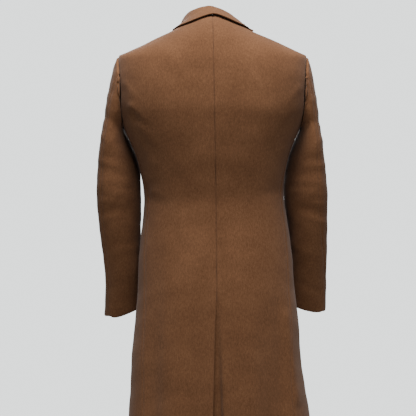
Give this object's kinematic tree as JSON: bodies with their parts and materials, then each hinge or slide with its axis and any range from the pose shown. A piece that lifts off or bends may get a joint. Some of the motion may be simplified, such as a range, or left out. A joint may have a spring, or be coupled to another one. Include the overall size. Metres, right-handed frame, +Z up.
{
  "type": "wool overcoat",
  "caption": "Long tailored overcoat, filled out upright and hollow, with turned-down collar, notched lapels, two-piece sleeves with cuff slits and a centre-back vent.",
  "frame": {"origin": "middle of the neck opening at the height of the shoulder seams' neck ends, where the coat is held", "axes": "+Z up, -Y the coat's front, +X the wearer's left"},
  "size_m": [0.5724, 0.3042, 1.1106],
  "materials": {
    "wool": "napped matt wool",
    "horn": "polished horn"
  },
  "bodies": {
    "root": {"back_left": "wool", "back_right": "wool", "front_left": "wool", "front_right": "wool", "lapel_left": "wool", "lapel_right": "wool", "collar": "wool", "upper_sleeve_left": "wool", "under_sleeve_left": "wool", "upper_sleeve_right": "wool", "under_sleeve_right": "wool", "front_button_1": "horn", "front_button_2": "horn", "front_button_3": "horn"}
  },
  "joints": []
}
